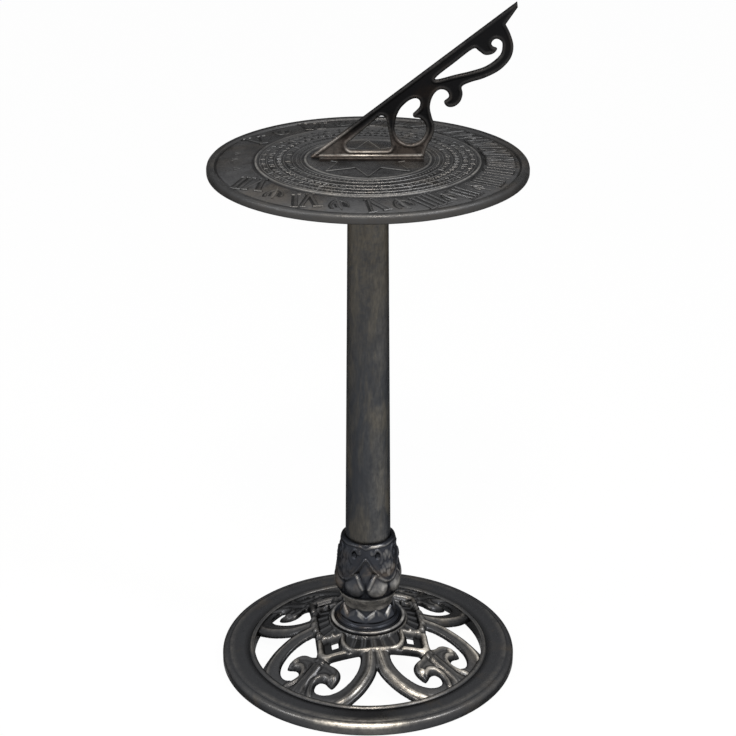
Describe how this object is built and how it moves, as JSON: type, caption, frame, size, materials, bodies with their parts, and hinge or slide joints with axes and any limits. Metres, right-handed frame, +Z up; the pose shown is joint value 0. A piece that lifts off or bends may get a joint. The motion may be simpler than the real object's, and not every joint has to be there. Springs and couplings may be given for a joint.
{
  "type": "garden pedestal sundial",
  "caption": "Garden sundial on a tapered column with an openwork round base, leaf collar, raised-figure dial and scrolled gnomon; the dial turns and is clamped from below.",
  "frame": {"origin": "on the floor under the column axis, at the underside of the base rim", "axes": "+Z up along the column, +X towards the dial's north, where the gnomon rises"},
  "size_m": [0.31, 0.31, 0.7051],
  "materials": {
    "base_bronze": "dark bronze paint, rubbed back to brown on the raised edges",
    "collar_bronze": "dark bronze paint, rubbed back on the leaves",
    "column_bronze": "dark bronze paint with lighter wiped patches",
    "dial_bronze": "dark gunmetal paint, lighter on the raised figures and rings",
    "gnomon_bronze": "near black paint with rust brown patches at the foot",
    "plain_steel": "dark painted turned steel",
    "bright_steel": "zinc plated, satin",
    "nut_brass": "dull cast brass",
    "nylon": "natural nylon, matte"
  },
  "bodies": {
    "pedestal": {"base_casting": "base_bronze", "leaf_collar": "collar_bronze", "column_tube": "column_bronze", "foot_plug": "plain_steel", "top_plug": "plain_steel", "thrust_washer": "nylon"},
    "dial_head": {"dial_plate": "dial_bronze", "dial_hub": "plain_steel", "hub_screws": "bright_steel", "gnomon": "gnomon_bronze", "gnomon_screws": "bright_steel", "gnomon_washers": "bright_steel", "tie_rod": "bright_steel", "lock_nut": "bright_steel"},
    "clamp": {"clamp_washer": "bright_steel"},
    "nut": {"wing_nut": "nut_brass"}
  },
  "joints": [
    {"name": "dial_turn", "type": "hinge", "parent": "pedestal", "child": "dial_head", "pos_m": [0, 0, 0.526], "axis": [0, 0, 1], "continuous": true},
    {"name": "nut_travel", "type": "slide", "parent": "dial_head", "child": "clamp", "axis": [0, 0, -1], "range_m": [0, 0.006]},
    {"name": "nut_turn", "type": "hinge", "parent": "clamp", "child": "nut", "pos_m": [0, 0, 0.032], "axis": [0, 0, -1], "range_deg": [0, 1440]}
  ],
  "couplings": [
    {"joint": "nut_travel", "follows": "nut_turn", "m_per_rad": 0.00019894}
  ]
}
